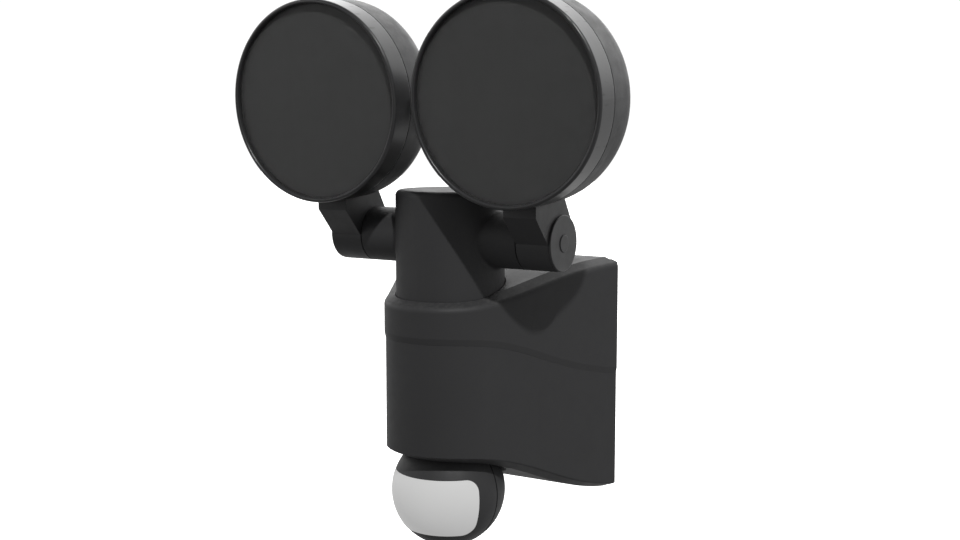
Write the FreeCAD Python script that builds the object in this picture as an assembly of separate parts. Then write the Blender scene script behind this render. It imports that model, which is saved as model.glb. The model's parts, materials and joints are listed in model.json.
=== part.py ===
"""Wall-mounted twin floodlight with a motion-sensor ball, as separate named pieces.

Row frame, millimetres: X to the right, -Y forward (away from the wall), +Z up.
The origin is the centre of the wall bracket's rear face, which lies on the wall.
"""
import FreeCAD, Part
import math
import os

# ---------------------------------------------------------------- driving dimensions
HOUSING_WIDTH = 124.2          # at the wall
TOP_AT_WALL = 59.8             # top face height where it meets the wall
TOP_AT_NOSE = 43.8
BOTTOM_AT_NOSE = -34.3
BOTTOM_AT_WALL = -61.4
NOSE_RADIUS = 32.9             # rounded front of the housing, about the neck axis
FLANK_START = 64.0             # degrees round the nose where the flank leaves it
FLANK_END = 71.0               # degrees from X at which the flank meets the wall
HOUSING_WALL = 3.0
BEVEL_FALL = 2.9               # shallow bevel round the top and the bottom: drop
BEVEL_RUN = 7.0                # and width
BEVEL_EDGE = 3.0               # fillet between that bevel and the flank
STEP_DEPTH = 0.65              # the upper part of the housing stands this proud of the lower
STEP_RAMP = 3.0                # height over which it slopes out
STEP_AT_NOSE = 23.5
STEP_AT_WALL = -0.7
RIM_GAP = 1.0                  # foam gasket space between the housing rim and the wall

NECK_Y = -64.0                 # neck axis, in front of the wall
NECK_RADIUS = 27.0
NECK_TOP = 96.0
NECK_EDGE = 2.8
NECK_HOLLOW = 22.0
SOCKET_RADIUS = 27.5
SOCKET_FLOOR = 34.0
SPIGOT_RADIUS = 19.95
SPIGOT_BORE = 20.0

HUB_Z = 72.3                   # tilt axis of both lamp heads
HUB_RADIUS = 13.6
STUB_END = 44.3                # end of each side stub, from the centre plane
ARM_INNER = 44.9
ARM_OUTER = 62.1
CAP_OUTER = 63.3
PLUG_RADIUS = 4.2
PLUG_PROUD = 0.4
PIVOT_BORE = 9.5               # in the stub
PIVOT_RADIUS = 9.43            # hollow spigot of the arm
WIRE_WAY = 6.0                 # bore of that spigot

HEAD_X = 53.1
HEAD_Y = NECK_Y - 38.5
HEAD_Z = HUB_Z + 66.4
HEAD_TILT = 3.5                # degrees, lamp faces lean down a little
HEAD_RADIUS = 49.3
FACE_RADIUS = 46.9             # visible radius of the lens
BEZEL_PROUD = 2.6              # bezel lip in front of the lens
SEAM_DEPTH = 9.7               # lens face to the dark seam
SEAL_THICK = 0.6
DOME_DEPTH = 33.0              # seam to the back of the dome
SHELL_WALL = 2.5

BALL_Y = NECK_Y - 2.2
BALL_Z = HUB_Z - 126.6
BALL_RADIUS = 28.5
BALL_WALL = 2.5
RECESS_RADIUS = 30.5
RECESS_WALL = 2.8
SENSOR_TILT = 15.0             # degrees each way, sets the slot for the stem
WINDOW_SPAN = 128.0            # degrees of the Fresnel window round the ball
WINDOW_LOW = -40.0             # degrees of latitude
WINDOW_HIGH = 22.0
WINDOW_CORNER = 6.0
STEM_RADIUS = 5.0
STEM_BEARING = 7.95
STEM_BORE = 8.0

BOARD_Y = -31.6                # front face of the driver board
COVER_Y = -11.8                # front face of the back cover
COVER_THICK = 2.5

V = FreeCAD.Vector
X = V(1, 0, 0)
Y = V(0, 1, 0)
Z = V(0, 0, 1)
PARTS = {}


# ---------------------------------------------------------------- small helpers
def box(x0, x1, y0, y1, z0, z1):
    return Part.makeBox(x1 - x0, y1 - y0, z1 - z0, V(x0, y0, z0))


def cylinder(radius, start, axis, length):
    return Part.makeCylinder(radius, length, V(*start), axis)


def tube(outer, inner, start, axis, length):
    return cylinder(outer, start, axis, length).cut(cylinder(inner, start, axis, length))


def fuse(first, *others):
    return first.fuse(list(others)).removeSplitter()


def ring_of(count, radius, first=0.0):
    """Points evenly spaced on a circle in the plane of a lamp head, as (x, z)."""
    for i in range(count):
        a = math.radians(first + 360.0 * i / count)
        yield radius * math.cos(a), radius * math.sin(a)


def line(a, b):
    return Part.makeLine(V(*a), V(*b))


def bezier(*points):
    curve = Part.BezierCurve()
    curve.setPoles([V(*p) for p in points])
    return curve.toShape()


def arc(a, middle, b):
    return Part.Arc(V(*a), V(*middle), V(*b)).toShape()


def prism(edges, direction):
    return Part.Face(Part.Wire(edges)).extrude(direction)


def turned(*edges):
    """A solid of revolution about the Y axis from a closed outline in the X-Y half plane."""
    return Part.Face(Part.Wire(list(edges))).revolve(V(0, 0, 0), Y, 360)


def washer(outer, inner, y0, y1):
    """A ring about the Y axis between two depths."""
    return tube(outer, inner, (0, y0, 0), Y, y1 - y0)


def add(name, shape):
    PARTS[name] = shape


# ---------------------------------------------------------------- housing envelope
def plan_outline(inset, back=0.0):
    """Seen from above: round nose, nearly straight flanks widening to the wall."""
    radius = NOSE_RADIUS - inset
    half = HOUSING_WIDTH / 2 - inset
    start = math.radians(FLANK_START)
    end = math.radians(FLANK_END)
    nose = (radius * math.sin(start), NECK_Y - radius * math.cos(start), 0)
    corner = (half, 0, 0)
    third = math.dist(nose, corner) / 3
    leave = (nose[0] + third * math.cos(start), nose[1] + third * math.sin(start), 0)
    arrive = (half - third * math.cos(end), -third * math.sin(end), 0)

    def mirror(p):
        return (-p[0], p[1], 0)
    edges = [
        arc(mirror(nose), (0, NECK_Y - radius, 0), nose),
        bezier(nose, leave, arrive, corner),
    ]
    if back:
        edges.append(line(corner, (half, back, 0)))
    edges.append(line((half, back, 0), (-half, back, 0)))
    if back:
        edges.append(line((-half, back, 0), mirror(corner)))
    edges.append(bezier(mirror(corner), mirror(arrive), mirror(leave), mirror(nose)))
    return edges


def top_curve(drop=0.0):
    """Side view of the top face, from the nose back to the wall."""
    nose = TOP_AT_NOSE - drop
    wall = TOP_AT_WALL - drop
    return [
        line((0, -110, nose), (0, -97, nose)),
        bezier((0, -97, nose), (0, -55.0, nose), (0, -47.9, wall - 2.5), (0, 0, wall)),
    ]


def bottom_curve(lift=0.0):
    nose = BOTTOM_AT_NOSE + lift
    wall = BOTTOM_AT_WALL + lift
    return [
        bezier((0, 0, wall), (0, -39.4, wall + 4.1), (0, -54.9, nose), (0, -97, nose)),
        line((0, -97, nose), (0, -110, nose)),
    ]


def envelope(inset, back=0.0):
    """Everything inside the housing's outer surface, less an even inset."""
    tall = 200.0
    plan = prism(plan_outline(inset, back), Z * tall)
    plan.translate(V(0, 0, -tall / 2))
    top_end = (0, 0, TOP_AT_WALL - inset)
    bottom_end = (0, 0, BOTTOM_AT_WALL + inset)
    edges = top_curve(inset)
    if back:
        edges.append(line(top_end, (0, back, TOP_AT_WALL - inset)))
        edges.append(line((0, back, TOP_AT_WALL - inset), (0, back, BOTTOM_AT_WALL + inset)))
        edges.append(line((0, back, BOTTOM_AT_WALL + inset), bottom_end))
    else:
        edges.append(line(top_end, bottom_end))
    edges += bottom_curve(inset)
    edges.append(line((0, -110, BOTTOM_AT_NOSE + inset), (0, -110, TOP_AT_NOSE - inset)))
    side = prism(edges, X * HOUSING_WIDTH * 1.2)
    side.translate(V(-HOUSING_WIDTH * 0.6, 0, 0))
    return plan.common(side)


def straight_across(edge):
    """True for the seams that run along X on the top, bottom and back of the housing."""
    a = edge.Vertexes[0].Point
    b = edge.Vertexes[-1].Point
    along_x = abs(a.y - b.y) < 0.01 and abs(a.z - b.z) < 0.01
    return along_x and not isinstance(edge.Curve, Part.Circle) and edge.Length < abs(a.x - b.x) * 1.01


def upright(edge):
    a = edge.Vertexes[0].Point
    b = edge.Vertexes[-1].Point
    return abs(a.x - b.x) < 0.01 and abs(a.y - b.y) < 0.01


def step_line():
    """Side view of the styling step, which falls towards the wall."""
    return [
        bezier((0, 0, STEP_AT_WALL), (0, -50.5, STEP_AT_WALL + 8.0),
               (0, -56.2, STEP_AT_NOSE), (0, -97, STEP_AT_NOSE)),
        line((0, -97, STEP_AT_NOSE), (0, -110, STEP_AT_NOSE)),
    ]


def below_step():
    edges = step_line() + [
        line((0, -110, STEP_AT_NOSE), (0, -110, -100)),
        line((0, -110, -100), (0, 0, -100)),
        line((0, 0, -100), (0, 0, STEP_AT_WALL)),
    ]
    body = prism(edges, X * 160)
    body.translate(V(-80, 0, 0))
    return body


def along(edge):
    """Three points spread along an edge."""
    span = edge.LastParameter - edge.FirstParameter
    return [edge.valueAt(edge.FirstParameter + share * span) for share in (0.1, 0.5, 0.9)]


def on_flank(edge):
    """True for the level edges that follow the nose and flanks, but not those at the wall."""
    outline = Part.Wire(Part.__sortEdges__(plan_outline(0.0)))
    for point in along(edge):
        on_outline = Part.Vertex(point.x, point.y, 0).distToShape(outline)[0] < 0.05
        if point.y > -0.01 or not on_outline:
            return False
    return not upright(edge)


def on_step_line(edge):
    wire = Part.Wire(step_line())
    return all(Part.Vertex(0, p.y, p.z).distToShape(wire)[0] < 0.02 for p in along(edge))


def bevelled_envelope():
    """A shallow bevel all round the top and bottom, rounded where it meets the flank."""
    body = envelope(0.0)
    rim = [e for e in body.Edges if not straight_across(e) and not upright(e)]
    body = body.makeChamfer(BEVEL_FALL, BEVEL_RUN, rim)
    return body.makeFillet(BEVEL_EDGE, [e for e in body.Edges if on_flank(e)])


def housing_outside():
    """Rounded outer form, slightly slimmer below a soft step."""
    body = bevelled_envelope()
    slim = prism(plan_outline(STEP_DEPTH), Z * 200)
    slim.translate(V(0, 0, -100))
    body = body.cut(below_step().cut(slim))
    ledge = [e for e in body.Edges if on_flank(e) and on_step_line(e)]
    return body.makeChamfer(STEP_RAMP, STEP_DEPTH - 0.05, ledge)


# ---------------------------------------------------------------- wall side
def rounded_plate(width, height, corner, y0, y1):
    plate = box(-width / 2, width / 2, y0, y1, -height / 2, height / 2)
    corners = [e for e in plate.Edges if abs(e.Vertexes[0].Y - e.Vertexes[-1].Y) > 0.5]
    return plate.makeFillet(corner, corners)


def slot_along_x(cx, cz, length, radius, y0, y1):
    reach = length / 2 - radius
    shape = box(cx - reach, cx + reach, y0, y1, cz - radius, cz + radius)
    for side in (-1, 1):
        shape = shape.fuse(cylinder(radius, (cx + side * reach, y0, cz), Y, y1 - y0))
    return shape


SCREW_SPACING = 70.0
SCREW_SLOT = 12.0
SCREW_HOLE = 2.5
SLOT_Z = 22.0
CABLE_Z = -27.0
CABLE_OPENING = 13.0
RETAINER_X = 24.0
RETAINER_Y = -5.0


def wall_bracket():
    plate = rounded_plate(108, 104, 8, -2, 0)
    for side in (-1, 1):
        plate = plate.cut(slot_along_x(side * SCREW_SPACING / 2, SLOT_Z, SCREW_SLOT, SCREW_HOLE, -3, 1))
    plate = plate.cut(cylinder(CABLE_OPENING, (0, -3, CABLE_Z), Y, 4))
    shelf = box(-20, 20, -7.5, -0.5, 50, 52)
    hook = box(-20, 20, -7.5, -6, 50, 55.5)
    foot = box(-32, 32, -8.4, -0.5, -52, -50)
    plate = fuse(plate, shelf, hook, foot)
    for side in (-1, 1):
        plate = plate.cut(cylinder(1.7, (side * RETAINER_X, RETAINER_Y, -54), Z, 6))
    return plate


def wall_gasket():
    """Foam ring that the housing rim presses against the wall."""
    ring = bevelled_envelope().common(envelope(1.2)).cut(envelope(6.0, back=1.0))
    return ring.common(box(-80, 80, -RIM_GAP, 0, -80, 80))


def back_cover():
    cover = envelope(HOUSING_WALL + 0.4, back=1.0)
    cover = cover.common(box(-80, 80, COVER_Y, COVER_Y + COVER_THICK, -80, 80))
    cover = cover.cut(cylinder(9.0, (0, -20, CABLE_Z), Y, 20))
    for x, z in cover_screw_places():
        cover = cover.cut(cylinder(2.0, (x, -20, z), Y, 20))
    return cover


def back_cover_seal():
    ring = envelope(HOUSING_WALL + 0.6, back=1.0).cut(envelope(HOUSING_WALL + 3.4, back=2.0))
    return ring.common(box(-80, 80, COVER_Y - 1.2, COVER_Y, -80, 80))


def cover_screw_places():
    return [(x, z) for x in (-46.8, 46.8) for z in (-42.0, 42.0)]


def pan_screw(place, axis, head_radius, head_height, shank_radius, length):
    """A round-headed screw: the head sits at place and the shank runs along the axis."""
    start = V(*place)
    head = cylinder(head_radius, tuple(start - axis * head_height), axis, head_height)
    slot_half = head_radius * 0.55
    across = X if abs(axis.dot(X)) < 0.5 else Y
    side = axis.cross(across)
    corner = start - axis * head_height
    for u, w in ((across, side), (side, across)):
        groove = Part.makePolygon([
            corner - u * slot_half - w * 0.35, corner + u * slot_half - w * 0.35,
            corner + u * slot_half + w * 0.35, corner - u * slot_half + w * 0.35,
            corner - u * slot_half - w * 0.35])
        head = head.cut(Part.Face(groove).extrude(axis * head_height * 0.5))
    return fuse(head, cylinder(shank_radius, tuple(start), axis, length))


def back_cover_screws():
    rear = COVER_Y + COVER_THICK
    return [pan_screw((x, rear, z), -Y, 3.2, 1.8, 1.55, 12) for x, z in cover_screw_places()]


def cable_grommet():
    rear = COVER_Y + COVER_THICK
    body = cylinder(8.9, (0, COVER_Y, CABLE_Z), Y, COVER_THICK)
    inside = cylinder(11.5, (0, COVER_Y - 2.0, CABLE_Z), Y, 2.0)
    outside = cylinder(11.5, (0, rear, CABLE_Z), Y, 1.8)
    nose = Part.makeCone(7.5, 5.5, 4.0, V(0, rear + 1.8, CABLE_Z), Y)
    body = fuse(body, inside, outside, nose)
    return body.cut(cylinder(3.6, (0, -20, CABLE_Z), Y, 30))


def housing_screws():
    """Two screws up through the underside into the bracket's foot."""
    return [pan_screw((side * RETAINER_X, RETAINER_Y, -58.2), Z, 3.4, 2.0, 1.65, 9.4) for side in (-1, 1)]


# ---------------------------------------------------------------- housing
def board_post_places():
    return [(-37.0, 31.0), (37.0, 31.0), (-37.0, -27.0), (37.0, -27.0)]


def main_housing():
    outside = housing_outside()
    shell = outside.cut(envelope(HOUSING_WALL, back=2.0))
    inside = [
        # cup that the neck stands in
        cylinder(SOCKET_RADIUS + 2.6, (0, NECK_Y, SOCKET_FLOOR - 3), Z, 40),
        # cup over the sensor ball, with a bearing boss for its stem
        Part.makeSphere(RECESS_RADIUS + RECESS_WALL, V(0, BALL_Y, BALL_Z)),
        cylinder(12.5, (0, BALL_Y, BALL_Z + 25), Z, 15),
        # ledge for the back cover
        envelope(HOUSING_WALL - 0.5).cut(envelope(HOUSING_WALL + 4, back=2.0)).common(
            box(-80, 80, COVER_Y - 4.2, COVER_Y - 1.2, -80, 80)),
        # rib that hangs on the bracket's hook
        box(-18, 18, -4.6, -2.6, 52.6, TOP_AT_WALL - 1),
    ]
    for x, z in cover_screw_places():
        inside.append(cylinder(4.2, (x, -42, z), Y, 42 + COVER_Y - 0.05))
    for x, z in board_post_places():
        inside.append(cylinder(3.4, (x, -66, z), Y, 66 + BOARD_Y - 0.05))
    for side in (-1, 1):
        inside.append(cylinder(4.2, (side * RETAINER_X, RETAINER_Y, -59.5), Z, 6.9))
    for shape in inside:
        shell = shell.fuse(shape.common(outside))
    shell = shell.removeSplitter()
    cuts = [
        cylinder(SOCKET_RADIUS, (0, NECK_Y, SOCKET_FLOOR), Z, 60),
        cylinder(SPIGOT_BORE, (0, NECK_Y, SOCKET_FLOOR - 6), Z, 12),
        Part.makeSphere(RECESS_RADIUS, V(0, BALL_Y, BALL_Z)),
        cylinder(STEM_BORE, (0, BALL_Y, BALL_Z + 20), Z, 30),
        box(-80, 80, -RIM_GAP, 5, -80, 80),
    ]
    for x, z in cover_screw_places():
        cuts.append(cylinder(1.6, (x, COVER_Y - 16, z), Y, 20))
    for x, z in board_post_places():
        cuts.append(cylinder(1.3, (x, BOARD_Y - 12, z), Y, 14))
    for side in (-1, 1):
        cuts.append(cylinder(1.8, (side * RETAINER_X, RETAINER_Y, -62), Z, 12))
        cuts.append(cylinder(3.6, (side * RETAINER_X, RETAINER_Y, -62), Z, 3.8))
    for shape in cuts:
        shell = shell.cut(shape)
    return shell


# ---------------------------------------------------------------- electronics in the housing
def driver_board():
    board = box(-41, 41, BOARD_Y, BOARD_Y + 1.6, -31, 35)
    for x, z in board_post_places():
        board = board.cut(cylinder(1.6, (x, BOARD_Y - 1, z), Y, 4))
    return board


def board_screws():
    rear = BOARD_Y + 1.6
    return [pan_screw((x, rear, z), -Y, 2.6, 1.5, 1.25, 9) for x, z in board_post_places()]


def transformer():
    front = BOARD_Y - 20.0
    bobbin = box(-9.5, 9.5, front + 1, BOARD_Y, -9.5, 13.5)
    core = fuse(box(-13, 13, front + 3, BOARD_Y - 4, -4, 8), box(-13, -8.5, front, BOARD_Y - 1, -4, 8),
                box(8.5, 13, front, BOARD_Y - 1, -4, 8))
    return fuse(bobbin, core)


def capacitors():
    return [cylinder(r, (x, BOARD_Y - length, z), Y, length)
            for r, x, z, length in ((6.3, 23, 9, 20), (5.0, 23, -6, 16), (4.0, -24, -10, 11))]


def relay():
    return box(-33, -18, BOARD_Y - 15, BOARD_Y, -2, 17)


def terminal_block():
    """Screw terminal for the supply, on the wall side of the board."""
    y0 = BOARD_Y + 1.6
    block = box(-18, 18, y0, y0 + 13, 2, 16)
    for x in (-12, 0, 12):
        block = block.cut(cylinder(2.6, (x, y0 + 4, 9.5), Y, 12))
        block = block.cut(box(x - 3, x + 3, y0 + 2, y0 + 8, 0, 7))
    return block


def terminal_screws():
    y0 = BOARD_Y + 1.6
    return [pan_screw((x, y0 + 10.5, 9.5), -Y, 2.4, 1.6, 1.5, 6.4) for x in (-12, 0, 12)]


# ---------------------------------------------------------------- neck
def neck_post():
    column = cylinder(NECK_RADIUS, (0, NECK_Y, SOCKET_FLOOR + 0.05), Z, NECK_TOP - SOCKET_FLOOR - 0.05)
    rim = [e for e in column.Edges if abs(e.CenterOfMass.z - NECK_TOP) < 0.01]
    column = column.makeFillet(NECK_EDGE, rim)
    spigot = cylinder(SPIGOT_RADIUS, (0, NECK_Y, 24), Z, SOCKET_FLOOR - 23)
    stubs = cylinder(HUB_RADIUS, (-STUB_END, NECK_Y, HUB_Z), X, 2 * STUB_END)
    outside = column.fuse(stubs).removeSplitter()
    roots = [e for e in outside.Edges if is_stub_root(e)]
    outside = outside.makeFillet(1.6, roots).fuse(spigot).removeSplitter()
    hollow = fuse(cylinder(NECK_HOLLOW, (0, NECK_Y, SOCKET_FLOOR + 7), Z, NECK_TOP - SOCKET_FLOOR - 10.5),
                  cylinder(16.0, (0, NECK_Y, 20), Z, 30))
    bosses = cylinder(HUB_RADIUS, (-26, NECK_Y, HUB_Z), X, 52)
    bosses = bosses.cut(cylinder(HUB_RADIUS + 1, (-19, NECK_Y, HUB_Z), X, 38))
    post = outside.cut(hollow).fuse(bosses)
    post = post.cut(cylinder(PIVOT_BORE, (-60, NECK_Y, HUB_Z), X, 120))
    ring_groove = tube(30, 17.6, (0, NECK_Y, 28.3), Z, 2.7)
    seal_groove = tube(30, 25.3, (0, NECK_Y, 36.7), Z, 2.4)
    return post.cut(ring_groove).cut(seal_groove)


def is_stub_root(edge):
    """The saddle-shaped edges where the stubs leave the neck."""
    box_ = edge.BoundBox
    on_stub = box_.ZMax < HUB_Z + HUB_RADIUS + 0.5 and box_.ZMin > HUB_Z - HUB_RADIUS - 0.5
    near_neck = max(abs(box_.XMin), abs(box_.XMax)) < NECK_RADIUS + 0.5
    return on_stub and near_neck


def neck_retaining_ring():
    """Split ring under the socket floor that keeps the neck down."""
    ring = tube(23.5, 17.7, (0, NECK_Y, 28.45), Z, 2.4)
    return ring.cut(box(-2, 2, NECK_Y, NECK_Y + 30, 28, 32))


def neck_o_ring():
    ring = Part.makeTorus(26.4, 1.05)
    ring.translate(V(0, NECK_Y, 37.9))
    return ring


# ---------------------------------------------------------------- lamp heads
def head_frame(side):
    """Places a head drawn about the lens centre, facing -Y, in its real position."""
    place = FreeCAD.Placement(V(side * HEAD_X, HEAD_Y, HEAD_Z), FreeCAD.Rotation(X, HEAD_TILT))
    return place


def placed(shape, side):
    moved = shape.copy()
    moved.Placement = head_frame(side).multiply(moved.Placement)
    return moved


def dome_outline(inset):
    """Edges of the dome from the seam to the axis, in the X-Y half plane."""
    r = HEAD_RADIUS - inset
    seam = SEAM_DEPTH + SEAL_THICK
    back = SEAM_DEPTH + DOME_DEPTH - inset
    shoulder = (r - 0.2, seam + 11.5, 0)
    return [
        line((r, seam, 0), shoulder),
        bezier(shoulder, (r - 0.2, back - 4, 0), (r * 0.67, back, 0), (0, back, 0)),
    ]


def dome_solid(inset, front):
    r = HEAD_RADIUS - inset
    edges = dome_outline(inset)
    back = SEAM_DEPTH + DOME_DEPTH - inset
    edges.append(line((0, back, 0), (0, front, 0)))
    edges.append(line((0, front, 0), (r, front, 0)))
    seam = SEAM_DEPTH + SEAL_THICK
    if abs(front - seam) > 0.01:
        edges.append(line((r, front, 0), (r, seam, 0)))
    return turned(*edges)


def wire_channel():
    """From the hub centre up the arm into the dome, in the row frame with x = 0 at the arm."""
    return cylinder(4.0, (0, NECK_Y - 1, HUB_Z), V(0, -0.36, 1), 34)


def rear_shell(side):
    seam = SEAM_DEPTH + SEAL_THICK
    shell = dome_solid(0.0, seam).cut(dome_solid(SHELL_WALL, seam - 1))
    spigot = washer(47.9, 45.4, 5.7, seam + 1)
    web = washer(47.4, 6.0, 13.6, 16.6)
    lug = box(-10, 10, 17, 30, -HEAD_RADIUS, -36).common(dome_solid(1.0, seam))
    shell = fuse(shell, spigot, web, lug)
    for x, z in ring_of(3, 33.0, 90):
        shell = shell.cut(cylinder(1.2, (x, 12, z), Y, 6))
    shell = placed(shell, side)
    channel = wire_channel()
    channel.translate(V(side * HEAD_X, 0, 0))
    shell = shell.cut(channel)
    for x, y in arm_screw_places():
        shell = shell.cut(cylinder(1.7, (side * HEAD_X + x, y, HUB_Z + 10), Z, 35))
        shell = shell.cut(cylinder(3.3, (side * HEAD_X + x, y, HUB_Z + 30), Z, 30))
    return shell


def arm_screw_places():
    return [(-6.0, NECK_Y - 12.5), (6.0, NECK_Y - 12.5)]


def arm_screws(side):
    heads = [(side * HEAD_X + x, y, HUB_Z + 30) for x, y in arm_screw_places()]
    return [pan_screw(head, -Z, 3.0, 1.8, 1.55, 16) for head in heads]


def bezel():
    """Trim ring round the lens with a rounded front lip."""
    rear = SEAM_DEPTH
    lip = -BEZEL_PROUD
    inner = 48.1
    crest = 47.7
    shoulder = (HEAD_RADIUS - 0.3, lip + 1.2, 0)
    outline = [
        line((inner, rear, 0), (HEAD_RADIUS, rear, 0)),
        line((HEAD_RADIUS, rear, 0), shoulder),
        arc(shoulder, (48.55, lip + 0.3, 0), (crest, lip, 0)),
        arc((crest, lip, 0), (47.15, lip + 0.25, 0), (FACE_RADIUS, lip + 0.8, 0)),
        line((FACE_RADIUS, lip + 0.8, 0), (FACE_RADIUS, 0, 0)),
        line((FACE_RADIUS, 0, 0), (inner, 0, 0)),
        line((inner, 0, 0), (inner, rear, 0)),
    ]
    return turned(*outline)


def bezel_seal():
    """Thin dark ring between the bezel and the dome."""
    return washer(HEAD_RADIUS - 0.5, 48.0, SEAM_DEPTH, SEAM_DEPTH + SEAL_THICK)


def lens():
    disc = cylinder(47.9, (0, 0.02, 0), Y, 3.0)
    return disc


def lens_gasket():
    return washer(47.8, 45.0, 3.02, 4.6)


def reflector():
    """White tray that widens from the light-emitting board to the lens."""
    outline = [
        line((47.8, 4.6, 0), (47.8, 5.6, 0)),
        line((47.8, 5.6, 0), (44.9, 5.6, 0)),
        line((44.9, 5.6, 0), (38.2, 12.0, 0)),
        line((38.2, 12.0, 0), (36.4, 12.0, 0)),
        line((36.4, 12.0, 0), (43.8, 4.6, 0)),
        line((43.8, 4.6, 0), (47.8, 4.6, 0)),
    ]
    return turned(*outline)


def led_board():
    board = cylinder(40.0, (0, 12.02, 0), Y, 1.5)
    for x, z in ring_of(3, 33.0, 90):
        board = board.cut(cylinder(1.5, (x, 11, z), Y, 4))
    return board.cut(cylinder(3.0, (0, 11, 0), Y, 4))


def leds():
    chips = []
    for count, radius, first in ((6, 9.0, 0), (12, 19.0, 15), (18, 28.0, 0)):
        for x, z in ring_of(count, radius, first):
            chips.append(box(x - 1.7, x + 1.7, 11.2, 12.02, z - 1.7, z + 1.7))
    return chips


def board_fixings():
    return [pan_screw((x, 12.02, z), Y, 2.4, 1.3, 1.15, 4.4) for x, z in ring_of(3, 33.0, 90)]


def head_solid():
    """The whole lamp head as one block, used to shape the top of the arm."""
    front = cylinder(HEAD_RADIUS, (0, -BEZEL_PROUD, 0), Y, SEAM_DEPTH + SEAL_THICK + BEZEL_PROUD)
    return front.fuse(dome_solid(0.0, SEAM_DEPTH + SEAL_THICK))


def arm(side):
    """Flat-sided arm: round hub below, slanting neck forward and up to the dome."""
    x0 = min(side * ARM_INNER, side * ARM_OUTER)
    width = ARM_OUTER - ARM_INNER
    lean = math.radians(32.0)
    rear = (x0, NECK_Y + HUB_RADIUS * math.cos(lean), HUB_Z + HUB_RADIUS * math.sin(lean))
    reach = 38.0
    rear_top = (x0, rear[1] - reach * math.sin(lean), rear[2] + reach * math.cos(lean))
    front_low = (x0, NECK_Y - HUB_RADIUS, HUB_Z)
    front_mid = (x0, NECK_Y - 25.4, HUB_Z + 13.2)
    front_top = (x0, NECK_Y - 25.4, rear_top[2])
    below = (x0, NECK_Y, HUB_Z - HUB_RADIUS)
    outline = [
        arc(front_low, below, rear),
        line(rear, rear_top),
        line(rear_top, front_top),
        line(front_top, front_mid),
        line(front_mid, front_low),
    ]
    body = prism(outline, X * width)
    hub_start = (side * ARM_INNER, NECK_Y, HUB_Z)
    outward = X * side
    spigot = cylinder(PIVOT_RADIUS, hub_start, -outward, ARM_INNER - 15.6)
    groove = tube(12, 8.1, (side * 16.9, NECK_Y, HUB_Z), outward, 1.4)
    body = fuse(body, spigot).cut(groove)
    body = body.cut(cylinder(WIRE_WAY, (0, NECK_Y, HUB_Z), outward, ARM_OUTER - 5))
    body = body.cut(cylinder(11.0, (side * (ARM_OUTER - 3), NECK_Y, HUB_Z), outward, 5))
    channel = wire_channel()
    channel.translate(V(side * HEAD_X, 0, 0))
    body = body.cut(channel)
    for x, y in arm_screw_places():
        body = body.cut(cylinder(1.6, (side * HEAD_X + x, y, HUB_Z + 12), Z, 40))
    return body.cut(placed(head_solid(), side))


def hub_seal(side):
    ring = tube(13.1, 9.7, (side * (STUB_END + 0.1), NECK_Y, HUB_Z), X * side, ARM_INNER - STUB_END - 0.1)
    return ring


def hub_cap(side):
    start = (side * (ARM_OUTER + 0.05), NECK_Y, HUB_Z)
    face = cylinder(HUB_RADIUS - 0.15, start, X * side, CAP_OUTER - ARM_OUTER - 0.05)
    rim = [e for e in face.Edges if abs(abs(e.CenterOfMass.x) - CAP_OUTER) < 0.01]
    face = face.makeFillet(0.4, rim)
    plug = cylinder(10.9, (side * (ARM_OUTER - 2.9), NECK_Y, HUB_Z), X * side, 3.5)
    cap = fuse(face, plug)
    return cap.cut(cylinder(PLUG_RADIUS + 0.1, (side * (ARM_OUTER - 0.6), NECK_Y, HUB_Z), X * side, 5))


def hub_plug(side):
    """Small raised button in the middle of the end cap."""
    outer = CAP_OUTER + PLUG_PROUD
    inner = ARM_OUTER - 0.6
    button = cylinder(PLUG_RADIUS, (side * inner, NECK_Y, HUB_Z), X * side, outer - inner)
    rim = [e for e in button.Edges if abs(abs(e.CenterOfMass.x) - outer) < 0.01]
    return button.makeFillet(0.3, rim)


def pivot_clip(side):
    """Spring clip in the spigot's groove, against the boss inside the neck."""
    ring = tube(11.8, 8.2, (side * 17.1, NECK_Y, HUB_Z), X * side, 1.0)
    return ring.cut(box(min(0, side * 30), max(0, side * 30), NECK_Y - 2.5, NECK_Y + 2.5, HUB_Z, HUB_Z + 20))


# ---------------------------------------------------------------- sensor
def at_ball(shape):
    moved = shape.copy()
    moved.translate(V(0, BALL_Y, BALL_Z))
    return moved


def window_block():
    """Ring sector that the Fresnel window fills, with rounded corners."""
    low = BALL_RADIUS * math.sin(math.radians(WINDOW_LOW))
    high = BALL_RADIUS * math.sin(math.radians(WINDOW_HIGH))
    near = 16.0
    far = BALL_RADIUS + 5
    corners = ((near, low), (far, low), (far, high), (near, high), (near, low))
    section = Part.makePolygon([V(x, 0, z) for x, z in corners])
    block = Part.Face(section).revolve(V(0, 0, 0), Z, WINDOW_SPAN)
    block.rotate(V(0, 0, 0), Z, -90 - WINDOW_SPAN / 2)
    radial = [e for e in block.Edges if abs(e.Length - (far - near)) < 0.01]
    return block.makeFillet(WINDOW_CORNER, radial)


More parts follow.
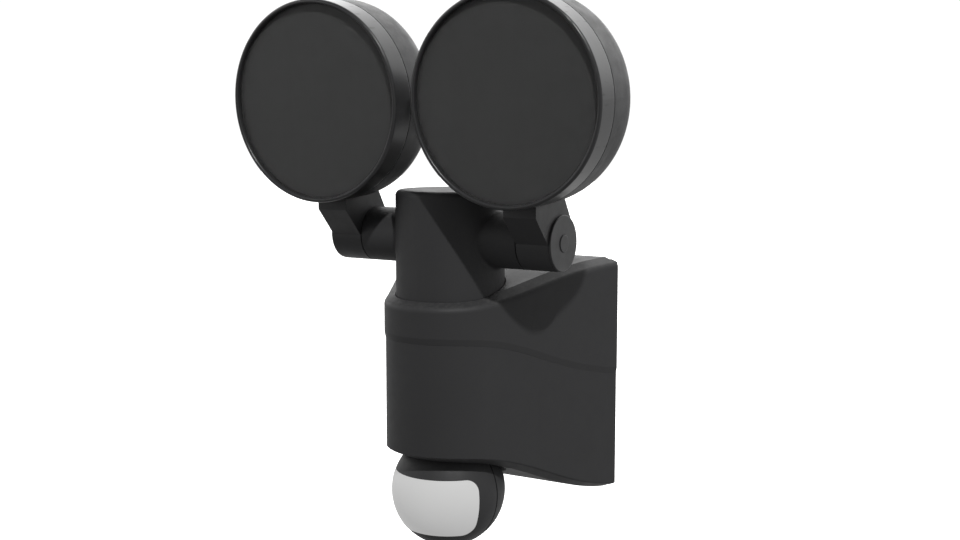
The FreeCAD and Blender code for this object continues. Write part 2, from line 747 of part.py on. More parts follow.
def ball_shell(front):
    """One half of the ball, split on the upright plane through its centre."""
    shell = Part.makeSphere(BALL_RADIUS).cut(Part.makeSphere(BALL_RADIUS - BALL_WALL))
    y0, y1 = (-40, -0.15) if front else (0.15, 40)
    shell = shell.common(box(-40, 40, y0, y1, -40, 40))
    inner = Part.makeSphere(BALL_RADIUS - 1)
    b0, b1 = (-6.0, -0.15) if front else (0.15, 6.0)
    for side in (-1, 1):
        saddle = box(min(side * 14, side * 27), max(side * 14, side * 27), b0, b1, -5, 5)
        shell = shell.fuse(saddle.common(inner))
        post = cylinder(3.5, (side * 18.5, -8 if front else 0.15, -11), Y, 7.85 if front else 20)
        shell = shell.fuse(post.common(inner))
    if front:
        for side in (-1, 1):
            rib = box(min(side * 15.2, side * 27), max(side * 15.2, side * 27), -13.5, -6, -7, 7)
            groove = box(-17.1, 17.1, -11.75, -10.05, -14, 14)
            shell = shell.fuse(rib.common(inner).cut(groove))
    shell = shell.removeSplitter()
    slot = BALL_RADIUS * math.sin(math.radians(SENSOR_TILT)) + STEM_RADIUS + 0.9
    shell = shell.cut(box(-STEM_RADIUS - 0.6, STEM_RADIUS + 0.6, -slot, slot, 15, 40))
    return shell.cut(cylinder(2.02, (-21.2, 0, 0), X, 42.4))


def sensor_front_shell():
    opening = window_block().cut(Part.makeSphere(BALL_RADIUS - BALL_WALL - 0.1))
    shell = ball_shell(front=True).cut(opening)
    for side in (-1, 1):
        shell = shell.cut(cylinder(1.25, (side * 18.5, -7, -11), Y, 8))
    return at_ball(shell)


def dial_direction(side):
    return V(side * 0.29, 0.50, -0.80).normalize()


def sensor_rear_shell():
    shell = ball_shell(front=False)
    for side in (-1, 1):
        shell = shell.cut(cylinder(1.5, (side * 18.5, -1, -11), Y, 30))
        shell = shell.cut(cylinder(2.9, (side * 18.5, 8, -11), Y, 30))
        shell = shell.cut(Part.makeCylinder(4.6, 12, dial_direction(side) * 22, dial_direction(side)))
    return at_ball(shell)


def sensor_lens():
    """White Fresnel window, a spherical patch that lies just proud of the ball."""
    skin = Part.makeSphere(BALL_RADIUS + 0.15).cut(Part.makeSphere(BALL_RADIUS - 1.0))
    return at_ball(window_block().common(skin))


def sensor_shell_screws():
    return [at_ball(pan_screw((side * 18.5, 8, -11), -Y, 2.6, 1.6, 1.2, 13)) for side in (-1, 1)]


def sensor_dial(side):
    """Round setting knob with a screwdriver slot, in a pocket under the rear of the ball."""
    d = dial_direction(side)
    knob = Part.makeCylinder(4.25, 5.4, d * 22.6, d)
    collar = Part.makeCylinder(5.4, 1.2, d * 21.4, d)
    shaft = Part.makeCylinder(1.5, 6, d * 15.6, d)
    dial = fuse(knob, collar, shaft)
    across = d.cross(Z).normalize()
    along = d.cross(across).normalize()
    tip = d * 28.0
    corners = [tip + across * a + along * b for a, b in ((-3.2, -0.5), (3.2, -0.5), (3.2, 0.5), (-3.2, 0.5))]
    slot = Part.Face(Part.makePolygon(corners + [corners[0]])).extrude(d * -1.2)
    return at_ball(dial.cut(slot))


def sensor_board():
    return at_ball(box(-17, 17, -11.7, -10.1, -13, 13))


def pyro_sensor():
    can = cylinder(4.6, (0, -16.0, -2), Y, 4.3)
    base = cylinder(5.2, (0, -12.3, -2), Y, 0.6)
    return at_ball(fuse(can, base).cut(box(-2, 2, -17, -15.6, -3.5, -0.5)))


def sensor_stem():
    """Hollow post that pans in the housing; its eye carries the ball's cross pin."""
    eye = cylinder(6.0, (-6, 0, 0), X, 12)
    shaft = cylinder(STEM_RADIUS, (0, 0, 0), Z, 31)
    bearing = cylinder(STEM_BEARING, (0, 0, 31), Z, 9)
    flange = cylinder(11.0, (0, 0, 40.05), Z, 1.6)
    neck = cylinder(STEM_BEARING, (0, 0, 39), Z, 2)
    stem = fuse(eye, shaft, bearing, flange, neck)
    stem = stem.cut(cylinder(2.05, (-7, 0, 0), X, 14))
    return at_ball(stem.cut(cylinder(2.6, (0, 0, 9), Z, 40)))


def sensor_stem_retainer():
    """Ring screwed on the bearing boss; it keeps the stem's flange down."""
    ring = tube(12.4, 6.5, (0, 0, 40), Z, 3.6)
    return at_ball(ring.cut(cylinder(11.3, (0, 0, 39), Z, 2.9)))


def sensor_pivot_pin():
    return at_ball(cylinder(2.0, (-21, 0, 0), X, 42))


# ---------------------------------------------------------------- assembly
def add_base():
    add("wall_bracket", wall_bracket())
    add("wall_gasket", wall_gasket())
    add("main_housing", main_housing())
    add("back_cover", back_cover())
    add("back_cover_seal", back_cover_seal())
    add("back_cover_screws", back_cover_screws())
    add("cable_grommet", cable_grommet())
    add("housing_screws", housing_screws())
    add("driver_board", driver_board())
    add("board_screws", board_screws())
    add("transformer", transformer())
    add("capacitors", capacitors())
    add("relay", relay())
    add("terminal_block", terminal_block())
    add("terminal_screws", terminal_screws())
    add("sensor_stem_retainer", sensor_stem_retainer())


def add_neck():
    add("neck_post", neck_post())
    add("neck_retaining_ring", neck_retaining_ring())
    add("neck_o_ring", neck_o_ring())


def add_head(name, side):
    add(name + "_arm", arm(side))
    add(name + "_arm_screws", arm_screws(side))
    add(name + "_hub_seal", hub_seal(side))
    add(name + "_hub_cap", hub_cap(side))
    add(name + "_hub_plug", hub_plug(side))
    add(name + "_pivot_clip", pivot_clip(side))
    add(name + "_rear_shell", rear_shell(side))
    for piece, make in (("_bezel", bezel), ("_bezel_seal", bezel_seal), ("_lens", lens),
                        ("_lens_gasket", lens_gasket), ("_reflector", reflector), ("_led_board", led_board)):
        add(name + piece, placed(make(), side))
    add(name + "_leds", [placed(chip, side) for chip in leds()])
    add(name + "_led_board_screws", [placed(screw, side) for screw in board_fixings()])


def add_sensor():
    add("sensor_stem", sensor_stem())
    add("sensor_pivot_pin", sensor_pivot_pin())
    add("sensor_front_shell", sensor_front_shell())
    add("sensor_rear_shell", sensor_rear_shell())
    add("sensor_lens", sensor_lens())
    add("sensor_board", sensor_board())
    add("pyro_sensor", pyro_sensor())
    add("sensor_shell_screws", sensor_shell_screws())
    add("time_dial", sensor_dial(-1))
    add("lux_dial", sensor_dial(1))


def write_parts():
    os.makedirs("parts", exist_ok=True)
    for name, shape in PARTS.items():
        if isinstance(shape, list):
            shape = Part.makeCompound(shape)
        solids = shape.Solids
        state = "" if shape.isValid() else "  NOT VALID"
        print(f"{name:28s} solids {len(solids):3d}  volume {shape.Volume:10.1f}{state}")
        whole = solids[0] if len(solids) == 1 else Part.makeCompound(solids)
        whole.exportStep(os.path.join("parts", name + ".step"))


add_base()
add_neck()
add_head("left", -1)
add_head("right", 1)
add_sensor()
write_parts()
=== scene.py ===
"""Looks of the wall-mounted twin floodlight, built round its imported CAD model. Metres."""
import json
import math

import bmesh
import bpy
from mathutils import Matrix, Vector


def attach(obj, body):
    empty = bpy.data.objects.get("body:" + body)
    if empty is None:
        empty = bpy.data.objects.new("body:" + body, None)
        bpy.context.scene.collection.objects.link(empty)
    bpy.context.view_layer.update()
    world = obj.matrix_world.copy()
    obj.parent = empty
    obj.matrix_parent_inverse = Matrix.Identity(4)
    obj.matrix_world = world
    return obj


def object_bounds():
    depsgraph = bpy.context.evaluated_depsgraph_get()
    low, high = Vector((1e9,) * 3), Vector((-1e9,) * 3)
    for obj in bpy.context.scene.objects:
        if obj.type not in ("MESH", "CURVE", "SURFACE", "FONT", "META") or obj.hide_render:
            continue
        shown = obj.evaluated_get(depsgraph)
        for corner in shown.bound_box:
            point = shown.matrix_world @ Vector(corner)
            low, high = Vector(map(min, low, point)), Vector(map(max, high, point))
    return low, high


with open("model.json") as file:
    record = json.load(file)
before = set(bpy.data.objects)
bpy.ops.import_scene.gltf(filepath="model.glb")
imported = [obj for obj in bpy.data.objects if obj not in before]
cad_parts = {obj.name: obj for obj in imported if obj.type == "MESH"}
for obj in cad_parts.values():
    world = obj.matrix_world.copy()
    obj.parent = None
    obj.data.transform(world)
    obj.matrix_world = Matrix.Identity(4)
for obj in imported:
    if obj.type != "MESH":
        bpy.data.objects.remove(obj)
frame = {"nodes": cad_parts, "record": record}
nodes = frame["nodes"]
cad_low, cad_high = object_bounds()
MM = 0.001

CAMERA_PLACE = (0.3526, -0.6183, 0.1333)
CAMERA_PITCH = 83.28           # degrees
CAMERA_TURN = 31.18
# The key comes from the front right and above, and is small, so its shadows have clear edges.
KEY_DIRECTION = (0.469, -0.469, 0.749)
KEY_DISTANCE = 2.2
KEY_SIZE = 0.05
KEY_POWER = 37
FILL_DIRECTION = (-0.7, -0.6, 0.25)
FILL_DISTANCE = 2.0
FILL_SIZE = 1.2
FILL_POWER = 6
EYE_WHITE = 1.05               # strength of the white that the camera sees behind the object
FLOOR_DROP = 0.16              # below the lowest point of the object
FLOOR_HALF = 6.0
FLOOR_GLOW = 0.95
BEHIND_LEFT = (-0.50, 0.86, 0.0)
TO_THE_RIGHT = (0.92, 0.35, 0.0)
UPWARDS = (0.0, 0.0, 1.0)


# ---------------------------------------------------------------- camera, light, floor
def add_camera():
    """In front and to the right of the object, a little above the neck."""
    data = bpy.data.cameras.new("camera")
    data.lens = 50
    data.sensor_width = 36
    camera = bpy.data.objects.new("camera", data)
    camera.location = CAMERA_PLACE
    camera.rotation_euler = (math.radians(CAMERA_PITCH), 0, math.radians(CAMERA_TURN))
    bpy.context.scene.collection.objects.link(camera)
    bpy.context.scene.camera = camera


def add_area_light(name, towards, distance, size, power, target=Vector((0, -0.06, 0.03))):
    """A square soft box that looks at the object from the direction given."""
    data = bpy.data.lights.new(name, "AREA")
    data.shape = "SQUARE"
    data.size = size
    data.energy = power
    light = bpy.data.objects.new(name, data)
    direction = Vector(towards).normalized()
    light.location = target + direction * distance
    light.rotation_euler = direction.to_track_quat("Z", "Y").to_euler()
    bpy.context.scene.collection.objects.link(light)


def add_world(front=0.29, side=0.38, back=3.6):
    """White surroundings: plain white to the eye, but as the object sees them dim in front,
    brighter on the right, and brightest high up behind it on the left."""
    world = bpy.data.worlds.new("studio")
    bpy.context.scene.world = world
    world.use_nodes = True
    tree = world.node_tree
    tree.nodes.clear()
    where = tree.nodes.new("ShaderNodeTexCoord").outputs["Generated"]

    def lobe(direction, start, end, low, high):
        """A value that rises smoothly from low to high towards the direction."""
        towards = tree.nodes.new("ShaderNodeVectorMath")
        towards.operation = "DOT_PRODUCT"
        towards.inputs[1].default_value = direction
        fade = tree.nodes.new("ShaderNodeMapRange")
        fade.interpolation_type = "SMOOTHSTEP"
        for name, value in (("From Min", start), ("From Max", end), ("To Min", low), ("To Max", high)):
            fade.inputs[name].default_value = value
        tree.links.new(where, towards.inputs[0])
        tree.links.new(towards.outputs["Value"], fade.inputs["Value"])
        return fade.outputs["Result"]

    def combine(operation, a, b):
        made = tree.nodes.new("ShaderNodeMath")
        made.operation = operation
        for socket, value in zip(made.inputs, (a, b)):
            if isinstance(value, float):
                socket.default_value = value
            else:
                tree.links.new(value, socket)
        return made.outputs[0]

    behind = combine("MULTIPLY", lobe(BEHIND_LEFT, 0.0, 0.9, 0.0, back),
                     lobe(UPWARDS, -0.05, 0.36, 0.18, 1.0))
    right = lobe(TO_THE_RIGHT, 0.1, 0.95, 0.0, side)
    total = combine("ADD", combine("ADD", behind, right), float(front))
    output = tree.nodes.new("ShaderNodeOutputWorld")
    eye = tree.nodes.new("ShaderNodeBackground")
    eye.inputs["Color"].default_value = (1, 1, 1, 1)
    eye.inputs["Strength"].default_value = EYE_WHITE
    soft = tree.nodes.new("ShaderNodeBackground")
    path = tree.nodes.new("ShaderNodeLightPath")
    mix = tree.nodes.new("ShaderNodeMixShader")
    tree.links.new(total, soft.inputs["Strength"])
    tree.links.new(path.outputs["Is Camera Ray"], mix.inputs["Fac"])
    tree.links.new(soft.outputs[0], mix.inputs[1])
    tree.links.new(eye.outputs[0], mix.inputs[2])
    tree.links.new(mix.outputs[0], output.inputs["Surface"])


def add_floor(drop=FLOOR_DROP, half=FLOOR_HALF):
    """Plain pale floor some way below the object, which hangs on a wall."""
    z = cad_low.z - drop
    mesh = bpy.data.meshes.new("floor")
    corners = [(-half, -half, z), (half, -half, z), (half, half, z), (-half, half, z)]
    mesh.from_pydata(corners, [], [(0, 1, 2, 3)])
    floor = bpy.data.objects.new("floor", mesh)
    bpy.context.scene.collection.objects.link(floor)
    shader = Shader("floor_white")
    shader.body.inputs["Roughness"].default_value = 0.8
    shader.body.inputs["Emission Color"].default_value = (1, 1, 1, 1)
    shader.body.inputs["Emission Strength"].default_value = FLOOR_GLOW
    cloud = shader.noise(3.0, 2)
    shader.colour(shader.mix(cloud, (0.86, 0.86, 0.86), (0.90, 0.90, 0.90)))
    mesh.materials.append(shader.material)
    floor.visible_diffuse = False
    floor.visible_glossy = False


# ---------------------------------------------------------------- material building
class Shader:
    """A node material with short names for what the surfaces here need."""

    def __init__(self, name):
        self.material = bpy.data.materials.new(name)
        self.material.use_nodes = True
        self.tree = self.material.node_tree
        self.body = self.tree.nodes["Principled BSDF"]
        self.place = self.tree.nodes.new("ShaderNodeTexCoord").outputs["Object"]

    def node(self, kind, **inputs):
        made = self.tree.nodes.new(kind)
        for name, value in inputs.items():
            self.set(made.inputs[name.replace("_", " ")], value)
        return made

    def set(self, socket, value):
        if isinstance(value, bpy.types.NodeSocket):
            self.tree.links.new(value, socket)
        elif isinstance(value, tuple) and len(value) == 3 and socket.type == "RGBA":
            socket.default_value = (*value, 1)
        else:
            socket.default_value = value

    def math(self, operation, a, b=0.0, c=0.0):
        made = self.tree.nodes.new("ShaderNodeMath")
        made.operation = operation
        for socket, value in zip(made.inputs, (a, b, c)):
            self.set(socket, value)
        return made.outputs[0]

    def stretched(self, x, y, z):
        made = self.node("ShaderNodeMapping", Vector=self.place)
        made.inputs["Scale"].default_value = (x, y, z)
        return made.outputs[0]

    def noise(self, per_metre, detail=3.0, roughness=0.5, where=None):
        made = self.node("ShaderNodeTexNoise", Vector=where or self.place, Scale=per_metre,
                         Detail=detail, Roughness=roughness)
        return made.outputs[0]

    def cells(self, per_metre, feature="F1"):
        made = self.node("ShaderNodeTexVoronoi", Vector=self.place, Scale=per_metre)
        made.feature = feature
        return made.outputs["Distance"]

    def spread(self, value, low, high, to_low=0.0, to_high=1.0):
        made = self.tree.nodes.new("ShaderNodeMapRange")
        made.clamp = True
        for name, number in (("Value", value), ("From Min", low), ("From Max", high),
                             ("To Min", to_low), ("To Max", to_high)):
            self.set(made.inputs[name], number)
        return made.outputs["Result"]

    def mix(self, factor, a, b):
        made = self.tree.nodes.new("ShaderNodeMix")
        made.data_type = "RGBA"
        self.set(made.inputs[0], factor)
        self.set(made.inputs[6], a)
        self.set(made.inputs[7], b)
        return made.outputs[2]

    def rounded_normal(self, radius_mm):
        made = self.tree.nodes.new("ShaderNodeBevel")
        made.samples = 4
        made.inputs["Radius"].default_value = radius_mm * MM
        return made.outputs[0]

    def edges(self, radius_mm):
        """About 1 on the object's convex and concave edges and 0 elsewhere."""
        geometry = self.tree.nodes.new("ShaderNodeNewGeometry")
        dot = self.tree.nodes.new("ShaderNodeVectorMath")
        dot.operation = "DOT_PRODUCT"
        self.tree.links.new(self.rounded_normal(radius_mm), dot.inputs[0])
        self.tree.links.new(geometry.outputs["Normal"], dot.inputs[1])
        return self.spread(dot.outputs["Value"], 0.98, 0.80)

    def facing_up(self):
        geometry = self.tree.nodes.new("ShaderNodeNewGeometry")
        split = self.node("ShaderNodeSeparateXYZ", Vector=geometry.outputs["Normal"])
        return self.spread(split.outputs["Z"], 0.35, 1.0)

    def relief(self, height, depth_mm, under=None):
        """Bump of the depth given; several are chained through under."""
        made = self.tree.nodes.new("ShaderNodeBump")
        made.inputs["Strength"].default_value = 1.0
        made.inputs["Distance"].default_value = depth_mm * MM
        self.tree.links.new(height, made.inputs["Height"])
        if under is not None:
            self.tree.links.new(under, made.inputs["Normal"])
        return made.outputs[0]

    def colour(self, value):
        self.set(self.body.inputs["Base Color"], value)

    def roughness(self, value):
        self.set(self.body.inputs["Roughness"], value)

    def normal(self, value):
        self.tree.links.new(value, self.body.inputs["Normal"])

    def uniform(self, **values):
        for name, value in values.items():
            self.set(self.body.inputs[name.replace("_", " ")], value)


def scaled(colour, factor):
    return tuple(channel * factor for channel in colour)


def moulded_plastic(name, colour, rough, grain_mm=0.35, grain_depth=0.012, round_mm=0.35,
                    dust=0.06, shine=0.35):
    """Spark-eroded mould texture, slow colour drift, dust on top faces and rubbed edges."""
    s = Shader(name)
    drift = s.noise(35.0, 3)
    fine = s.noise(1000.0 / grain_mm, 2, 0.6)
    grain = s.cells(1000.0 / (grain_mm * 1.6))
    body = s.mix(drift, scaled(colour, 0.93), scaled(colour, 1.07))
    body = s.mix(s.spread(fine, 0.35, 0.65, 0.0, 0.5), body, scaled(colour, 0.90))
    specks = s.spread(s.noise(420.0, 4, 0.7), 0.46, 0.70)
    dusty = s.math("MULTIPLY", s.math("MULTIPLY", s.facing_up(), specks), dust)
    body = s.mix(dusty, body, (0.30, 0.29, 0.27))
    worn = s.math("MULTIPLY", s.edges(0.6), s.spread(s.noise(260.0, 3), 0.42, 0.62))
    body = s.mix(s.math("MULTIPLY", worn, 0.35), body, scaled(colour, 1.7))
    s.colour(body)
    uneven = s.spread(s.noise(120.0, 4, 0.65), 0.3, 0.7, rough - 0.05, rough + 0.05)
    s.roughness(s.math("SUBTRACT", s.math("ADD", uneven, s.math("MULTIPLY", dusty, 0.4)),
                       s.math("MULTIPLY", worn, 0.12)))
    normal = s.relief(grain, grain_depth, s.rounded_normal(round_mm))
    s.normal(s.relief(fine, grain_depth * 0.6, normal))
    s.uniform(Specular_IOR_Level=shine)
    return s.material


def powder_coat(name, colour, rough, grain_mm=0.7, grain_depth=0.02):
    """Sprayed coat on metal: soft orange peel with fine grit."""
    s = Shader(name)
    peel = s.noise(1000.0 / grain_mm, 2, 0.45)
    grit = s.cells(4200.0, "SMOOTH_F1")
    drift = s.noise(28.0, 3)
    body = s.mix(drift, scaled(colour, 0.93), scaled(colour, 1.08))
    body = s.mix(s.spread(peel, 0.4, 0.7, 0.0, 0.6), body, scaled(colour, 1.12))
    specks = s.spread(s.noise(380.0, 4), 0.45, 0.7)
    dusty = s.math("MULTIPLY", s.math("MULTIPLY", s.facing_up(), specks), 0.10)
    body = s.mix(dusty, body, (0.30, 0.29, 0.27))
    worn = s.math("MULTIPLY", s.edges(0.5), s.spread(s.noise(300.0, 4), 0.52, 0.66))
    body = s.mix(s.math("MULTIPLY", worn, 0.5), body, scaled(colour, 2.2))
    s.colour(body)
    s.roughness(s.spread(s.noise(160.0, 4), 0.3, 0.7, rough - 0.06, rough + 0.06))
    normal = s.relief(peel, grain_depth, s.rounded_normal(0.3))
    s.normal(s.relief(grit, grain_depth * 0.5, normal))
    s.uniform(Specular_IOR_Level=0.35)
    return s.material


def satin_trim(name, colour, rough):
    """Smooth satin-gloss moulding with faint turning marks and hairline scratches."""
    s = Shader(name)
    drift = s.noise(40.0, 2)
    lines = s.noise(600.0, 3, 0.6, s.stretched(0.10, 3.0, 0.10))
    scratches = s.spread(s.noise(900.0, 2, 0.5, s.stretched(1.0, 0.08, 0.5)), 0.66, 0.72)
    s.colour(s.mix(drift, scaled(colour, 0.95), scaled(colour, 1.06)))
    smear = s.spread(s.noise(60.0, 2, 0.5), 0.3, 0.7, rough - 0.02, rough + 0.03)
    s.roughness(s.math("ADD", smear, s.math("MULTIPLY", scratches, 0.15)))
    normal = s.relief(lines, 0.0006, s.rounded_normal(0.4))
    s.normal(s.relief(scratches, 0.0005, normal))
    s.uniform(Specular_IOR_Level=0.42)
    return s.material


def smoked_panel(name, colour):
    """Dark diffusing lamp front with fine frosting; light spreads a little below its surface."""
    s = Shader(name)
    frost = s.noise(2600.0, 2, 0.5)
    cloud = s.noise(22.0, 2)
    wiped = s.noise(260.0, 3, 0.6, s.stretched(1.0, 1.0, 0.15))
    s.colour(s.mix(cloud, scaled(colour, 0.975), scaled(colour, 1.025)))
    s.roughness(s.spread(wiped, 0.3, 0.7, 0.50, 0.58))
    s.normal(s.relief(frost, 0.004, s.rounded_normal(0.2)))
    s.uniform(Specular_IOR_Level=0.22, Subsurface_Weight=0.9, Subsurface_Scale=0.012)
    s.body.inputs["Subsurface Radius"].default_value = (1.0, 1.0, 1.0)
    return s.material


def window_white_painted_glow(name):
    """Milky polyethylene of the detection window; a weak painted glow (emission) lightens it evenly,
    standing in for light scattered inside it.
    """
    s = Shader(name)
    cloud = s.noise(60.0, 3)
    pebble = s.noise(1800.0, 2, 0.5)
    s.colour(s.mix(cloud, (0.30, 0.30, 0.298), (0.32, 0.32, 0.318)))
    # painted glow: the window gives off light of its own though it is no lamp
    s.uniform(Emission_Strength=0.32)
    s.set(s.body.inputs["Emission Color"], s.mix(cloud, (0.97, 0.97, 0.965), (1.0, 1.0, 0.995)))
    s.roughness(s.spread(s.noise(200.0, 3), 0.3, 0.7, 0.55, 0.66))
    s.normal(s.relief(pebble, 0.006))
    s.uniform(Specular_IOR_Level=0.25)
    return s.material


def soft_rubber(name, colour, rough=0.8):
    """Matt rubber skin with a faint grey bloom."""
    s = Shader(name)
    skin = s.noise(1500.0, 3, 0.6)
    bloom = s.noise(70.0, 4, 0.6)
    s.colour(s.mix(s.spread(bloom, 0.4, 0.8), colour, scaled(colour, 1.6)))
    s.roughness(s.spread(bloom, 0.3, 0.7, rough - 0.08, rough + 0.08))
    s.normal(s.relief(skin, 0.02, s.rounded_normal(0.2)))
    s.uniform(Specular_IOR_Level=0.15)
    return s.material


def closed_foam(name):
    """Dark foam full of small closed pores."""
    s = Shader(name)
    pores = s.cells(1700.0)
    s.colour(s.mix(s.spread(pores, 0.1, 0.6), (0.012, 0.012, 0.013), (0.05, 0.05, 0.052)))
    s.roughness(s.spread(s.noise(300.0, 3), 0.3, 0.7, 0.85, 0.97))
    s.normal(s.relief(pores, 0.08))
    return s.material


def zinc_plate(name):
    """Bright zinc on steel: rolled grain, cloudy passivation and a few dull spots."""
    s = Shader(name)
    rolled = s.noise(900.0, 3, 0.6, s.stretched(0.08, 1.0, 1.0))
    cloud = s.noise(120.0, 4, 0.6)
    spots = s.spread(s.noise(500.0, 2), 0.62, 0.72)
    tint = s.mix(s.spread(cloud, 0.35, 0.7), (0.30, 0.31, 0.32), (0.36, 0.35, 0.31))
    s.colour(s.mix(s.math("MULTIPLY", spots, 0.5), tint, (0.22, 0.22, 0.22)))
    s.roughness(s.math("ADD", s.spread(rolled, 0.3, 0.7, 0.26, 0.42), s.math("MULTIPLY", spots, 0.2)))
    s.normal(s.relief(rolled, 0.004, s.rounded_normal(0.25)))
    s.uniform(Metallic=1.0)
    return s.material


def circuit_laminate(name, colour):
    """Solder mask over copper tracks: the tracks stand up a little and look paler."""
    s = Shader(name)
    tracks = s.node("ShaderNodeTexBrick", Scale=90.0)
    turned = s.node("ShaderNodeMapping", Vector=s.place)
    turned.inputs["Rotation"].default_value = (math.pi / 2, 0, 0)
    s.set(tracks.inputs["Vector"], turned.outputs[0])
    s.set(tracks.inputs["Mortar Size"], 0.06)
    s.set(tracks.inputs["Color1"], (0.0, 0.0, 0.0))
    s.set(tracks.inputs["Color2"], (0.25, 0.25, 0.25))
    s.set(tracks.inputs["Mortar"], (1.0, 1.0, 1.0))
    track = tracks.outputs["Color"]
    weave = s.noise(1400.0, 2)
    body = s.mix(weave, scaled(colour, 0.85), scaled(colour, 1.1))
    s.colour(s.mix(track, body, scaled(colour, 1.7)))
    s.roughness(s.spread(weave, 0.3, 0.7, 0.28, 0.40))
    s.normal(s.relief(track, 0.035, s.relief(weave, 0.006)))
    return s.material


def white_solder_mask(name):
    """White board lacquer over glass weave, with a few flux stains."""
    s = Shader(name)
    weave = s.noise(1200.0, 3)
    flux = s.spread(s.noise(150.0, 3), 0.55, 0.75)
    body = s.mix(weave, (0.78, 0.78, 0.75), (0.86, 0.86, 0.84))
    s.colour(s.mix(s.math("MULTIPLY", flux, 0.3), body, (0.70, 0.66, 0.52)))
    s.roughness(s.spread(weave, 0.3, 0.7, 0.30, 0.42))
    s.normal(s.relief(weave, 0.008))
    return s.material


def gloss_white(name):
    """Glossy white moulding with a slight orange peel."""
    s = Shader(name)
    cloud = s.noise(80.0, 3)
    peel = s.noise(700.0, 2)
    s.colour(s.mix(cloud, (0.84, 0.84, 0.83), (0.90, 0.90, 0.89)))
    s.roughness(s.spread(cloud, 0.3, 0.7, 0.18, 0.26))
    s.normal(s.relief(peel, 0.006, s.rounded_normal(0.3)))
    return s.material


def phosphor(name):
    """Yellow phosphor gel of the LEDs."""
    s = Shader(name)
    grains = s.noise(5200.0, 3)
    s.colour(s.mix(grains, (0.80, 0.58, 0.08), (0.92, 0.74, 0.16)))
    s.roughness(s.spread(grains, 0.3, 0.7, 0.25, 0.40))
    s.normal(s.relief(grains, 0.01, s.rounded_normal(0.3)))
    return s.material


def sintered_ferrite(name):
    """Dark grainy ferrite."""
    s = Shader(name)
    grains = s.noise(2400.0, 4, 0.7)
    s.colour(s.mix(grains, (0.045, 0.043, 0.042), (0.085, 0.08, 0.078)))
    s.roughness(s.spread(grains, 0.3, 0.7, 0.55, 0.75))
    s.normal(s.relief(grains, 0.03, s.rounded_normal(0.4)))
    return s.material


def sleeved_can(name):
    """Capacitor: dark blue sleeve, bare aluminium showing through scuffs."""
    s = Shader(name)
    scuff = s.spread(s.noise(700.0, 3), 0.60, 0.68)
    sleeve = s.mix(s.noise(90.0, 2), (0.015, 0.02, 0.045), (0.025, 0.032, 0.065))
    s.colour(s.mix(s.math("MULTIPLY", scuff, 0.4), sleeve, (0.30, 0.31, 0.33)))
    s.roughness(s.spread(s.noise(300.0, 3), 0.3, 0.7, 0.25, 0.40))
    s.normal(s.relief(scuff, 0.01, s.rounded_normal(0.6)))
    return s.material


def nickel_can(name):
    """Drawn nickel-plated can."""
    s = Shader(name)
    drawn = s.noise(1300.0, 3, 0.6, s.stretched(1.0, 0.1, 1.0))
    s.colour(s.mix(drawn, (0.60, 0.58, 0.54), (0.72, 0.70, 0.66)))
    s.roughness(s.spread(drawn, 0.3, 0.7, 0.15, 0.28))
    s.normal(s.relief(drawn, 0.003, s.rounded_normal(0.4)))
    s.uniform(Metallic=1.0)
    return s.material


GREY = (0.030, 0.030, 0.031)
MATERIALS = {
    "housing_plastic": moulded_plastic("housing_plastic", GREY, 0.60, shine=0.27),
    "inner_plastic": moulded_plastic("inner_plastic", (0.016, 0.016, 0.017), 0.55, dust=0.04),
    "sensor_plastic": moulded_plastic("sensor_plastic", GREY, 0.58, grain_mm=0.25, grain_depth=0.005,
                                      shine=0.27),
    "arm_metal": powder_coat("arm_metal", GREY, 0.50),
    "lamp_shell": powder_coat("lamp_shell", GREY, 0.52, grain_mm=0.9, grain_depth=0.035),
    "bezel_satin": satin_trim("bezel_satin", scaled(GREY, 0.75), 0.30),
    "cap_plastic": moulded_plastic("cap_plastic", scaled(GREY, 1.25), 0.46),
    "smoked_lens": smoked_panel("smoked_lens", (0.053, 0.053, 0.053)),
    "fresnel_window": window_white_painted_glow("fresnel_window"),
    "black_rubber": soft_rubber("black_rubber", (0.006, 0.006, 0.006), 0.85),
    "foam": closed_foam("foam"),
    "zinc_steel": zinc_plate("zinc_steel"),
    "circuit_board": circuit_laminate("circuit_board", (0.010, 0.085, 0.030)),
    "led_board_white": white_solder_mask("led_board_white"),
    "led_phosphor": phosphor("led_phosphor"),
    "reflector_white": gloss_white("reflector_white"),
    "transformer_core": sintered_ferrite("transformer_core"),
    "capacitor_can": sleeved_can("capacitor_can"),
    "relay_case": moulded_plastic("relay_case", (0.012, 0.05, 0.16), 0.30, dust=0.0),
    "terminal_plastic": moulded_plastic("terminal_plastic", (0.045, 0.20, 0.07), 0.42, dust=0.0),
    "detector_can": nickel_can("detector_can"),
    "dial_plastic": moulded_plastic("dial_plastic", scaled(GREY, 2.0), 0.40, grain_mm=0.3),
}


def dress(obj, slot):
    obj.data.materials.clear()
    obj.data.materials.append(MATERIALS[slot])


for part in frame["record"]["subparts"]:
    dress(nodes[part["node"]], part["material_slot"])

# ---------------------------------------------------------------- small pieces too fine for the CAD
def swept(name, sections, body, slot, closed=False):
    """Skin over a row of point loops of equal length, capped at both ends unless it is a ring."""
    mesh = bpy.data.meshes.new(name)
    skin = bmesh.new()
    loops = [[skin.verts.new(point) for point in section] for section in sections]
    pairs = list(zip(loops, loops[1:]))
    if closed:
        pairs.append((loops[-1], loops[0]))
    else:
        skin.faces.new(reversed(loops[0]))
        skin.faces.new(loops[-1])
    for near, far in pairs:
        for i in range(len(near)):
            j = (i + 1) % len(near)
            skin.faces.new((near[i], near[j], far[j], far[i]))
    bmesh.ops.recalc_face_normals(skin, faces=skin.faces)
    skin.to_mesh(mesh)
    skin.free()
    piece = bpy.data.objects.new(name, mesh)
    bpy.context.scene.collection.objects.link(piece)
    dress(piece, slot)
    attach(piece, body)


BALL_CENTRE = Vector((0, -66.2, -54.3)) * MM
BALL_RADIUS = 28.5


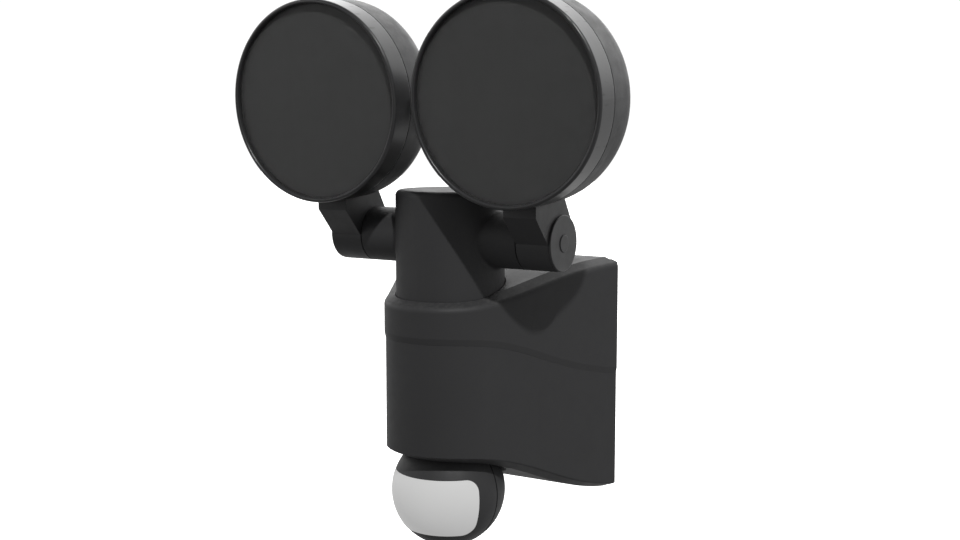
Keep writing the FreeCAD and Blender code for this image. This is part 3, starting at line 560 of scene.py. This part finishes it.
def add_ball_seam_painted_shade():
    """Dark bead in the joint between the two halves of the ball, open where the stem comes out: painted
    shade, a dark strip standing in for the shadow in the joint's narrow gap.
    """
    profile = ((-0.5, -0.48), (-0.08, -0.48), (0.0, -0.34), (0.0, 0.34), (-0.08, 0.48), (-0.5, 0.48))
    open_half = math.radians(14)
    count = 120
    sections = []
    for i in range(count + 1):
        turn = open_half + (2 * math.pi - 2 * open_half) * i / count
        proud = 0.06 - 0.10 * max(0.0, (-math.cos(turn) - 0.96) / 0.04)
        outward = Vector((math.sin(turn), 0, math.cos(turn)))
        sections.append([
            BALL_CENTRE + (outward * (BALL_RADIUS + proud + out) + Vector((0, along, 0))) * MM
            for out, along in profile])
    swept("ball_seam_painted_shade", sections, "sensor_head", "black_rubber")


def add_dial_marks():
    """Raised graduation round each setting dial, longer from mark to mark."""
    for side, name in ((-1, "time"), (1, "lux")):
        axis = Vector((side * 0.29, 0.50, -0.80)).normalized()
        across = axis.cross(Vector((1, 0, 0))).normalized()
        up = axis.cross(across)
        for k in range(7):
            turn = math.radians(135 - 45 * k)
            outward = across * math.cos(turn) + up * math.sin(turn)
            sideways = axis.cross(outward)
            length = 0.8 + 0.14 * k
            sections = []
            for height, shrink in ((-0.30, 1.0), (0.04, 1.0), (0.10, 0.75)):
                loop = []
                for step in range(12):
                    a = 2 * math.pi * step / 12
                    reach = 5.6 + length / 2 + shrink * (length / 2) * math.cos(a)
                    wide = 0.20 * shrink * math.sin(a)
                    spot = (axis * math.sqrt(BALL_RADIUS ** 2 - reach ** 2) + outward * reach
                            + sideways * wide).normalized()
                    loop.append(BALL_CENTRE + spot * (BALL_RADIUS + height) * MM)
                sections.append(loop)
            swept(f"{name}_mark_{k + 1}", sections, "sensor_head", "sensor_plastic")


def add_grommet_ribs():
    """Soft lips round the nose of the cable grommet."""
    for number, (y, radius) in enumerate(((-6.7, 7.1), (-5.6, 6.55), (-4.5, 6.0)), 1):
        sections = []
        for i in range(48):
            turn = 2 * math.pi * i / 48
            outward = Vector((math.cos(turn), 0, math.sin(turn)))
            loop = []
            for k in range(8):
                a = math.radians(45 * k)
                beside = Vector((0, y + 0.32 * math.sin(a), -27))
                loop.append((outward * (radius + 0.32 * math.cos(a)) + beside) * MM)
            sections.append(loop)
        swept(f"grommet_rib_{number}", sections, "base", "black_rubber", closed=True)


# dark bead in the ball's joint: painted shade for the seam gap
add_ball_seam_painted_shade()
add_dial_marks()
add_grommet_ribs()
add_camera()
add_world()
add_area_light("key", KEY_DIRECTION, KEY_DISTANCE, KEY_SIZE, KEY_POWER)
add_area_light("fill", FILL_DIRECTION, FILL_DISTANCE, FILL_SIZE, FILL_POWER)
add_floor()

bpy.context.scene.view_settings.view_transform = "Standard"
